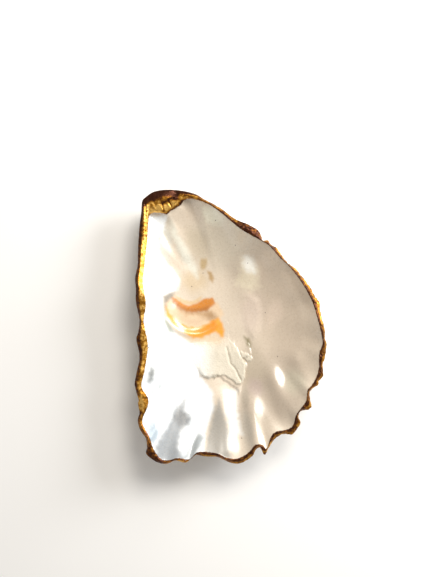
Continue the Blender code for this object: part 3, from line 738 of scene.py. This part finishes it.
def outside_rings(outline):
    """Rings of the lower surface, from just below the outline to the scar's edge."""
    angle, far = from_centre(outline[:, 0], outline[:, 1])
    smooth = reach(BODY_EVENED, angle)
    near = reach(SCAR_POLAR, angle)
    places = []
    upper, upper_step = np.full(np.shape(angle), EDGE_SHARE), 0.0
    for layer in reversed(range(-1, len(LAYER_ENDS))):
        every = 1 if layer >= 4 else 2
        half = LAYER_STEPS[layer] / 2 if layer >= 0 else 0.0
        lower = layer_end(angle, layer) if layer >= 0 else np.zeros(np.shape(angle))
        for t in np.linspace(0.0, 1.0, RINGS_PER_LAYER):
            share = upper + (lower + LAYER_GAP * (layer >= 0) - upper) * t
            places.append((share, upper_step + (-half - upper_step) * t, every, layer + 1 + t))
        upper, upper_step = lower - LAYER_GAP, half
    rings = []
    for share, step, every, place in places:
        scallops = ease(SCALLOPS_FROM, 1.0, share)
        away = near + (smooth + (far - smooth) * scallops - near) * share
        x = BOWL_CENTRE[0] + away * np.cos(angle)
        y = BOWL_CENTRE[1] + away * np.sin(angle)
        z = outside_height(x, y, share, step)
        rings.append(Ring(x[::every], y[::every], z[::every], 0.0, place))
    return rings


def bridge(outer, inner):
    """Triangles between two rings of point numbers, the inner as many as the outer or half."""
    if len(outer) == len(inner):
        after, inner_after = np.roll(outer, -1), np.roll(inner, -1)
        return np.concatenate([
            np.stack([outer, after, inner], axis=1),
            np.stack([after, inner_after, inner], axis=1),
        ])
    first, middle = outer[::2], outer[1::2]
    last, inner_after = np.roll(first, -1), np.roll(inner, -1)
    return np.concatenate([
        np.stack([first, middle, inner], axis=1),
        np.stack([middle, inner_after, inner], axis=1),
        np.stack([middle, last, inner_after], axis=1),
    ])


def number(rings, first):
    """The point numbers of each ring and the first number left free."""
    numbers = []
    for ring in rings:
        numbers.append(np.arange(first, first + len(ring.points)))
        first += len(ring.points)
    return numbers, first


def build_shell():
    """The valve's rings and the triangles that join them into one closed mesh."""
    above = inside_rings()
    below = outside_rings(above[0].points)
    top, free = number(above, 0)
    bottom, free = number(below, free)
    bottom = [top[0]] + bottom
    faces = [bridge(a, b)[:, ::-1] for a, b in zip(top, top[1:])]
    faces += [bridge(a, b) for a, b in zip(bottom, bottom[1:])]
    zero = np.zeros(1)
    middle = Ring(zero, zero, inside_height(zero, zero, np.ones(1)))
    under = Ring(zero + BOWL_CENTRE[0], zero + BOWL_CENTRE[1], zero, 0.0, 0.0)
    last = top[-1]
    faces.append(np.stack([np.roll(last, -1), last, np.full(len(last), free)], axis=1))
    last = bottom[-1]
    faces.append(np.stack([last, np.roll(last, -1), np.full(len(last), free + 1)], axis=1))
    return above + below + [middle, under], np.concatenate(faces)


def paint_depth(points, rim_share, layer):
    """Distance inside the gold paint's edge, negative where there is none."""
    x, y, z = points.T
    angle = np.arctan2(y, x)
    away = np.hypot(x, y)
    over_nacre = away - nacre_reach(angle)
    edge_x = reach(OUTLINE_POLAR, angle) * np.cos(angle)
    edge_y = reach(OUTLINE_POLAR, angle) * np.sin(angle)
    rim = round_the_rim(from_centre(x, y)[0])[0]
    below = np.sqrt((x - edge_x) ** 2 + (y - edge_y) ** 2 + (z - rim) ** 2)
    lap = PAINT_LAPS_BY[0] + PAINT_LAPS_BY[1] * bumps(edge_x, edge_y, 9.0, 2.0)
    return np.where(layer < 0, over_nacre, lap - below)


def tint(x, y):
    """The colour of the inside, from the soft patches and the areas, some of which are painted
    highlights and painted shade, and the chalk.
    """
    colour = np.tile(linear(NACRE), (len(x), 1))
    for centre, half, turn, shade, strength in PATCHES:
        wobble = 1.0 + 0.25 * bumps(x, y, 0.8 * min(half), 6.0)
        off = np.sqrt(oval(x, y, centre, half, turn)) * wobble
        weight = strength * (1.0 - ease(0.35, 1.3, off))
        colour += (linear(shade) - colour) * weight[:, None]
    for corners, shade, soft, strength in AREAS:
        depth = depth_inside(x, y, corners) + 0.5 * soft * bumps(x, y, 2.5, 7.0)
        colour += (linear(shade) - colour) * (strength * ease(-soft, soft, depth))[:, None]
    weight = ease(-0.2, 0.6, chalk_depth(x, y)) * ease(-LEDGE_START[0], 16.0, -y)
    left = ease(-CHALK_TURNS[0], -CHALK_TURNS[1], -x)[:, None]
    shade = linear(CHALK) + (linear(CHALK_LEFT) - linear(CHALK)) * left
    return colour + (shade - colour) * weight[:, None]


def shade_of_paint(points, rim_share, layer):
    """How light the gold is painted: painted shade on flanks that face away from the light, painted
    light on those that face it, and the lines of GOLD_SHADES.
    """
    x, y, _ = points.T
    crest = round_the_rim(from_centre(x, y)[0], RIM_FORM)[0]
    left = 1.0 - ease(0.42, 0.65, crest)
    # Painted light and shade: on the left and hinge side, shade on the outer flank and light on the
    # inner slope; on the right and lower side, light on the outer flakes and shade on the inner
    # slope.
    rounded = ease(0.22, 0.5, rim_share)
    right_rim_light = 0.62 * (1.0 - ease(0.35, 0.6, rim_share))
    gold_light_and_wear = np.where(layer < 0, left * rounded + (1.0 - left) * right_rim_light, 0.35)
    for path, half_width, change in GOLD_SHADES:
        off = off_path(x, y, path) / half_width
        gold_light_and_wear = gold_light_and_wear + change * np.exp(-off ** 2) * (layer < 0)
    return gold_light_and_wear


def add_value(data, name, values):
    attribute = data.attributes.new(name, "FLOAT", "POINT")
    attribute.data.foreach_set("value", np.asarray(values, np.float32))


def make_shell():
    rings, faces = build_shell()
    points = np.concatenate([ring.points for ring in rings])
    rim_share = np.concatenate([ring.on_rim for ring in rings])
    layer = np.concatenate([ring.layer for ring in rings])
    data = bpy.data.meshes.new("oyster_shell_skin")
    data.from_pydata((points * MM).tolist(), [], faces.tolist())
    data.shade_smooth()
    x, y, _ = points.T
    add_value(data, "paint", paint_depth(points, rim_share, layer))
    add_value(data, "gold_light_and_wear", shade_of_paint(points, rim_share, layer))
    add_value(data, "layer", layer)
    add_value(data, "outside", (layer >= 0).astype(float))
    add_value(data, "chalk", chalk_depth(x, y) - 3.0 * (1 - ease(9.0, 14.0, -y)))
    colour = data.attributes.new("tint", "FLOAT_COLOR", "POINT")
    rgba = np.concatenate([tint(x, y), np.ones((len(x), 1))], axis=1)
    colour.data.foreach_set("color", rgba.astype(np.float32).ravel())
    shell = bpy.data.objects.new("oyster_shell_skin", data)
    bpy.context.scene.collection.objects.link(shell)
    print("SHELL", len(data.vertices), "points", len(data.polygons), "triangles")
    return shell


class Paint:
    """Short ways to add and join the shader nodes of one material."""

    def __init__(self, name):
        self.material = bpy.data.materials.new(name)
        self.material.use_nodes = True
        self.tree = self.material.node_tree
        self.shader = self.tree.nodes["Principled BSDF"]
        self.place = self.node("ShaderNodeTexCoord").outputs["Object"]

    def node(self, kind, inputs=(), **settings):
        made = self.tree.nodes.new(kind)
        for name, value in settings.items():
            setattr(made, name, value)
        for key, value in dict(inputs).items():
            self.give(made.inputs[key], value)
        return made

    def give(self, socket, value):
        if isinstance(value, bpy.types.NodeSocket):
            self.tree.links.new(value, socket)
        else:
            socket.default_value = value

    def set(self, name, value):
        self.give(self.shader.inputs[name], value)

    def attribute(self, name, output="Fac"):
        return self.node("ShaderNodeAttribute", attribute_name=name).outputs[output]

    def noise(self, size, detail=3.0, rough=0.55):
        """Noise with features of a size in millimetres."""
        inputs = {"Vector": self.place, "Scale": 1.0 / (size * MM), "Detail": detail,
                  "Roughness": rough}
        return self.node("ShaderNodeTexNoise", inputs).outputs["Fac"]

    def maths(self, operation, a, b=0.0, c=0.0):
        inputs = {0: a, 1: b, 2: c}
        return self.node("ShaderNodeMath", inputs, operation=operation).outputs[0]

    def rise(self, value, low, high, to_low=0.0, to_high=1.0):
        inputs = {"Value": value, "From Min": low, "From Max": high, "To Min": to_low,
                  "To Max": to_high}
        made = self.node("ShaderNodeMapRange", inputs, interpolation_type="SMOOTHSTEP")
        return made.outputs["Result"]

    def mix(self, share, a, b):
        inputs = {0: share, 6: a, 7: b}
        return self.node("ShaderNodeMix", inputs, data_type="RGBA").outputs[2]

    def blend(self, share, a, b):
        inputs = {0: share, 2: a, 3: b}
        return self.node("ShaderNodeMix", inputs, data_type="FLOAT").outputs[0]

    def near(self, centre, radius):
        """1 within a radius of a point seen from above, fading at its edge."""
        flat = self.node("ShaderNodeVectorMath", {0: self.place, 1: (1, 1, 0)},
                         operation="MULTIPLY").outputs[0]
        point = (centre[0] * MM, centre[1] * MM, 0)
        off = self.node("ShaderNodeVectorMath", {0: flat, 1: point}, operation="DISTANCE")
        return self.rise(off.outputs["Value"], 0.6 * radius * MM, 1.2 * radius * MM, 1.0, 0.0)


def rgba(colour):
    return (*linear(colour), 1.0)


def gold_colour(paint, grain):
    """Gold paint whose colour follows its painted light and shade and a random grain that also
    paints small glints: dark brown in painted shade, gold between, and a pale painted highlight
    where it is lightest.
    """
    gold_light_and_wear = paint.maths("ADD", paint.attribute("gold_light_and_wear"), paint.rise(grain, 0.32, 0.68, -0.4, 0.4))
    dark = paint.mix(paint.rise(gold_light_and_wear, -0.1, 0.35), rgba((66, 28, 4)), rgba((112, 64, 8)))
    warm = paint.mix(paint.rise(gold_light_and_wear, 0.3, 0.8), dark, rgba((172, 116, 24)))
    # The pale gold is a painted highlight.
    return paint.mix(paint.rise(gold_light_and_wear, 0.75, 1.3), warm, rgba((232, 184, 96)))


def outside_colour(paint):
    """Chalky cream and grey layers with brown-purple bands."""
    layer = paint.attribute("layer")
    cloud = paint.noise(16.0, 4.0)
    fine = paint.noise(1.6, 5.0, 0.65)
    band = paint.node("ShaderNodeTexNoise", {"W": layer, "Scale": 1.3, "Detail": 4.0},
                      noise_dimensions="1D").outputs["Fac"]
    colour = paint.mix(paint.rise(cloud, 0.35, 0.65), rgba((206, 194, 172)), rgba((168, 158, 146)))
    colour = paint.mix(paint.rise(band, 0.5, 0.72, 0.0, 0.65), colour, rgba((116, 92, 88)))
    return paint.mix(paint.rise(fine, 0.45, 0.75, 0.0, 0.7), colour, rgba((232, 224, 206)))


def shell_material():
    paint = Paint("painted shell")
    fine = paint.noise(1.1, 5.0, 0.6)
    grain = paint.noise(2.4, 5.0, 0.62)
    outside = paint.attribute("outside")
    gold_edge = paint.maths("MULTIPLY_ADD", paint.rise(fine, 0.3, 0.7, -1.0, 1.0),
                            paint.blend(outside, 0.18, 1.6), paint.attribute("paint"))
    gold = paint.rise(gold_edge, -0.1, 0.12)
    chalk = paint.rise(paint.attribute("chalk"), 0.0, 0.8)
    nacre = paint.mix(paint.rise(fine, 0.3, 0.7, 0.0, 0.16), paint.attribute("tint", "Color"),
                      rgba((176, 158, 134)))
    for centre in SPECKS:
        nacre = paint.mix(paint.near(centre, SPECK_RADIUS), nacre, rgba((70, 58, 48)))
    colour = paint.mix(outside, nacre, outside_colour(paint))
    paint.set("Base Color", paint.mix(gold, colour, gold_colour(paint, grain)))
    paint.set("Metallic", paint.maths("MULTIPLY", gold, 0.8))
    plain = paint.blend(chalk, paint.rise(grain, 0.3, 0.7, 0.24, 0.34), 0.62)
    plain = paint.blend(outside, plain, 0.8)
    paint.set("Roughness", paint.blend(gold, plain, paint.rise(grain, 0.3, 0.7, 0.24, 0.5)))
    bare = paint.maths("MULTIPLY", paint.maths("SUBTRACT", 1.0, outside),
                       paint.maths("SUBTRACT", 1.0, chalk))
    gloss = paint.maths("MULTIPLY", paint.maths("SUBTRACT", 1.0, gold), 0.6)
    paint.set("Coat Weight", paint.maths("MULTIPLY", bare, gloss))
    paint.set("Coat Roughness", 0.22)
    paint.set("IOR", 1.7)
    smooth = paint.maths("MULTIPLY", grain, 0.12)
    height = paint.blend(chalk, smooth, paint.maths("MULTIPLY", fine, 0.9))
    height = paint.blend(outside, height, fine)
    height = paint.blend(gold, height, paint.maths("MULTIPLY", grain, 1.1))
    bump = paint.node("ShaderNodeBump", {"Height": height, "Strength": 0.6, "Distance": 0.0005})
    paint.set("Normal", bump.outputs["Normal"])
    return paint.material


def make_camera():
    data = bpy.data.cameras.new("camera")
    data.lens = CAMERA_LENS
    data.sensor_width = 36.0
    camera = bpy.data.objects.new("camera", data)
    camera.location = (*CAMERA_OVER, CAMERA_HEIGHT)
    bpy.context.scene.collection.objects.link(camera)
    bpy.context.scene.camera = camera


def area_light(name, place, size, power, colour):
    data = bpy.data.lights.new(name, "AREA")
    data.size = size
    data.energy = power
    data.color = colour
    light = bpy.data.objects.new(name, data)
    light.location = place
    light.rotation_euler = (-Vector(place)).to_track_quat("-Z", "Y").to_euler()
    bpy.context.scene.collection.objects.link(light)


def make_world():
    world = bpy.data.worlds.new("studio")
    world.use_nodes = True
    background = world.node_tree.nodes["Background"]
    background.inputs["Color"].default_value = (1.0, 0.96, 0.91, 1.0)
    background.inputs["Strength"].default_value = 0.46
    bpy.context.scene.world = world
    bpy.context.scene.view_settings.view_transform = "Standard"


def make_floor():
    bpy.ops.mesh.primitive_plane_add(size=4.0, location=(0.0, 0.0, -0.0002))
    floor = bpy.context.object
    floor.name = "floor"
    material = bpy.data.materials.new("pale floor")
    material.use_nodes = True
    shader = material.node_tree.nodes["Principled BSDF"]
    shader.inputs["Base Color"].default_value = rgba((245, 244, 242))
    shader.inputs["Roughness"].default_value = 0.9
    floor.data.materials.append(material)


make_camera()
shell = make_shell()
shell.data.materials.append(shell_material())
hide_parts("oyster_shell")
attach(shell, "root")
area_light("window", (0.5, 0.28, 0.31), 0.3, 4.8, (0.96, 0.98, 1.0))
area_light("lamp", (0.14, 0.37, 0.51), 0.25, 2.6, (1.0, 0.95, 0.87))
make_world()
make_floor()
